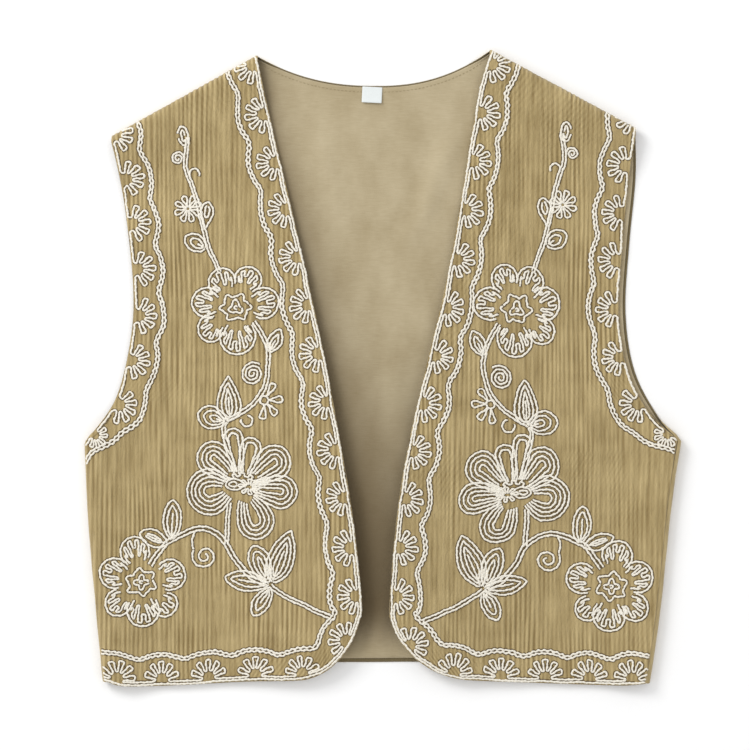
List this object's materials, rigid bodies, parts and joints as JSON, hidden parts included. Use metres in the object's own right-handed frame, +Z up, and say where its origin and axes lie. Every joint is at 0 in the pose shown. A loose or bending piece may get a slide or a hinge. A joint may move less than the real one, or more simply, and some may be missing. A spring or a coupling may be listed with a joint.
{
  "type": "embroidered waistcoat",
  "caption": "Open-fronted sleeveless waistcoat of crinkled cotton gauze with chain-stitch flower embroidery, laid flat with its front edges apart over the lined back.",
  "frame": {"origin": "on the surface it lies on, under the middle of its bounding box", "axes": "+X towards the wearer's left, +Y from the hem towards the neck, +Z up from the surface, out of the garment's front"},
  "size_m": [0.477, 0.5076, 0.0158],
  "materials": {
    "gauze": "matt crinkled cotton gauze",
    "lining": "matt plain-weave cotton",
    "thread": "soft mercerised embroidery thread",
    "label": "smooth woven tape"
  },
  "bodies": {
    "root": {"right_front": "gauze", "left_front": "gauze", "back_shell": "gauze", "back_lining": "lining", "size_label": "label"}
  },
  "joints": []
}
